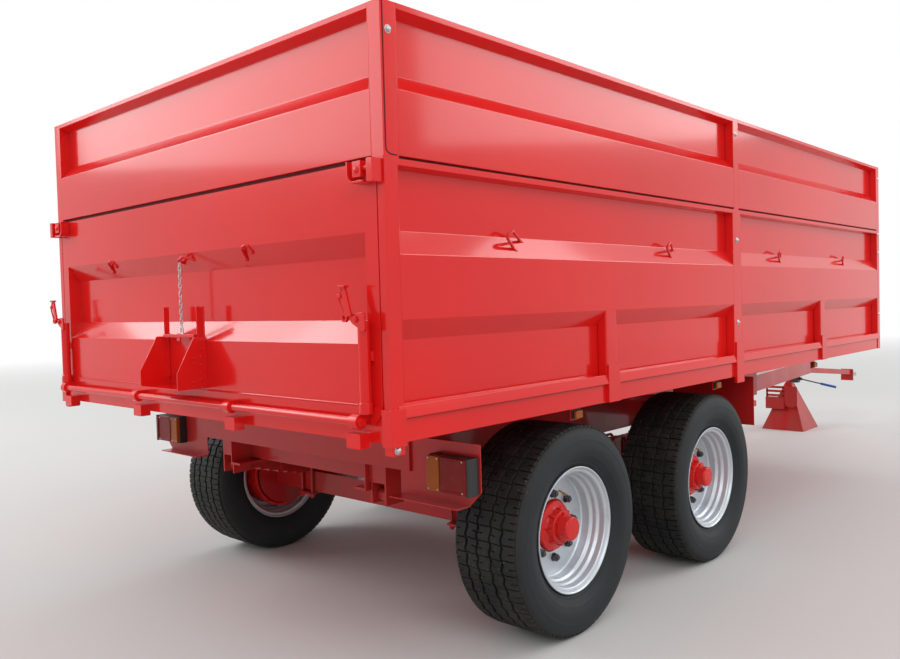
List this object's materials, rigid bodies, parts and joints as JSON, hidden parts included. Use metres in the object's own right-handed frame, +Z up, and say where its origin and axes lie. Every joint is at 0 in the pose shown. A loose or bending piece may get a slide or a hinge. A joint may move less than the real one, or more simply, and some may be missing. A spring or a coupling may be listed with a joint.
{
  "type": "tipping trailer",
  "caption": "Tandem-axle farm tipping trailer with high pressed side boards, a top-hung tailgate with a grain hatch, a long drawbar and a parking stand.",
  "frame": {"origin": "on the floor under the middle of the overall length and width", "axes": "+X forward towards the drawbar, +Y to the trailer's left, +Z up"},
  "size_m": [9.25, 2.624, 2.5],
  "materials": {
    "red_paint": "gloss",
    "chassis_paint": "gloss",
    "rim_silver": "satin",
    "tyre_rubber": "matte",
    "zinc": "satin",
    "ram_chrome": "polished",
    "lamp_lens": "gloss"
  },
  "bodies": {
    "chassis": {"chassis_rails": "chassis_paint", "cross_members": "chassis_paint", "rear_board": "chassis_paint", "drawbar_legs": "chassis_paint", "drawbar_pole": "chassis_paint", "hitch_eye": "zinc", "stand_bracket": "chassis_paint", "tip_plates": "chassis_paint", "light_boards": "chassis_paint", "tail_lamps": "lamp_lens", "mud_plates": "chassis_paint", "axles": "chassis_paint", "leaf_springs": "chassis_paint", "spring_hangers": "chassis_paint", "equalisers": "chassis_paint", "ram_cradle": "chassis_paint"},
    "load_body": {"side_panels_left": "red_paint", "side_panels_right": "red_paint", "extension_left": "red_paint", "extension_right": "red_paint", "headboard": "red_paint", "extension_rear": "red_paint", "extension_front": "red_paint", "lower_posts": "red_paint", "extension_posts": "red_paint", "side_ribs": "red_paint", "stake_pockets": "red_paint", "side_floor_rails": "red_paint", "end_floor_rails": "red_paint", "floor_plate": "red_paint", "floor_bearers": "red_paint", "body_runners": "red_paint", "tip_lugs": "red_paint", "ram_bracket": "red_paint", "gate_ears": "red_paint"},
    "tailgate": {"tailgate": "red_paint", "gate_lugs": "red_paint", "lock_rod": "red_paint", "lock_levers": "red_paint", "hatch_chute": "red_paint", "hatch_chain": "zinc"},
    "grain_hatch": {"hatch_slide": "red_paint"},
    "parking_stand": {"stand_leg": "chassis_paint"},
    "wheel_left_rear": {"tyre_left_rear": "tyre_rubber", "rim_left_rear": "rim_silver", "hub_left_rear": "chassis_paint"},
    "wheel_left_front": {"tyre_left_front": "tyre_rubber", "rim_left_front": "rim_silver", "hub_left_front": "chassis_paint"},
    "wheel_right_rear": {"tyre_right_rear": "tyre_rubber", "rim_right_rear": "rim_silver", "hub_right_rear": "chassis_paint"},
    "wheel_right_front": {"tyre_right_front": "tyre_rubber", "rim_right_front": "rim_silver", "hub_right_front": "chassis_paint"},
    "ram_barrel": {"ram_barrel": "chassis_paint"},
    "ram_stage_1": {"ram_stage_1": "ram_chrome"},
    "ram_stage_2": {"ram_stage_2": "ram_chrome"},
    "ram_stage_3": {"ram_stage_3": "ram_chrome"},
    "ram_stage_4": {"ram_stage_4": "ram_chrome"}
  },
  "joints": [
    {"name": "body_tip", "type": "hinge", "parent": "chassis", "child": "load_body", "pos_m": [-3.825, 0, 0.9], "axis": [0, -1, 0], "range_deg": [0, 45]},
    {"name": "tailgate_swing", "type": "hinge", "parent": "load_body", "child": "tailgate", "pos_m": [-4.511, 0, 1.948], "axis": [0, 1, 0], "range_deg": [0, 80]},
    {"name": "hatch_slide_up", "type": "slide", "parent": "tailgate", "child": "grain_hatch", "axis": [0, 0, 1], "range_m": [0, 0.14], "deforming": ["hatch_chain"]},
    {"name": "stand_slide", "type": "slide", "parent": "chassis", "child": "parking_stand", "axis": [0, 0, 1], "range_m": [0, 0.15]},
    {"name": "wheel_left_rear_turn", "type": "hinge", "parent": "chassis", "child": "wheel_left_rear", "pos_m": [-3.328, 1.092, 0.468], "axis": [0, 1, 0], "continuous": true},
    {"name": "wheel_left_front_turn", "type": "hinge", "parent": "chassis", "child": "wheel_left_front", "pos_m": [-1.982, 1.092, 0.468], "axis": [0, 1, 0], "continuous": true},
    {"name": "wheel_right_rear_turn", "type": "hinge", "parent": "chassis", "child": "wheel_right_rear", "pos_m": [-3.328, -1.092, 0.468], "axis": [0, 1, 0], "continuous": true},
    {"name": "wheel_right_front_turn", "type": "hinge", "parent": "chassis", "child": "wheel_right_front", "pos_m": [-1.982, -1.092, 0.468], "axis": [0, 1, 0], "continuous": true},
    {"name": "ram_swing", "type": "hinge", "parent": "chassis", "child": "ram_barrel", "pos_m": [-1.726, 0, 0.45], "axis": [0, -1, 0], "range_deg": [0, 21.8]},
    {"name": "ram_stage_1_out", "type": "slide", "parent": "ram_barrel", "child": "ram_stage_1", "axis": [0.0851, 0, 0.9964], "range_m": [0, 0.403]},
    {"name": "ram_stage_2_out", "type": "slide", "parent": "ram_stage_1", "child": "ram_stage_2", "axis": [0.0851, 0, 0.9964], "range_m": [0, 0.403]},
    {"name": "ram_stage_3_out", "type": "slide", "parent": "ram_stage_2", "child": "ram_stage_3", "axis": [0.0851, 0, 0.9964], "range_m": [0, 0.403]},
    {"name": "ram_stage_4_out", "type": "slide", "parent": "ram_stage_3", "child": "ram_stage_4", "axis": [0.0851, 0, 0.9964], "range_m": [0, 0.403]}
  ],
  "couplings": [
    {"joint": "ram_swing", "follows": "body_tip", "ratio": 0.4828},
    {"joint": "ram_stage_1_out", "follows": "body_tip", "m_per_rad": 0.5123},
    {"joint": "ram_stage_2_out", "follows": "body_tip", "m_per_rad": 0.5123},
    {"joint": "ram_stage_3_out", "follows": "body_tip", "m_per_rad": 0.5123},
    {"joint": "ram_stage_4_out", "follows": "body_tip", "m_per_rad": 0.5123}
  ]
}
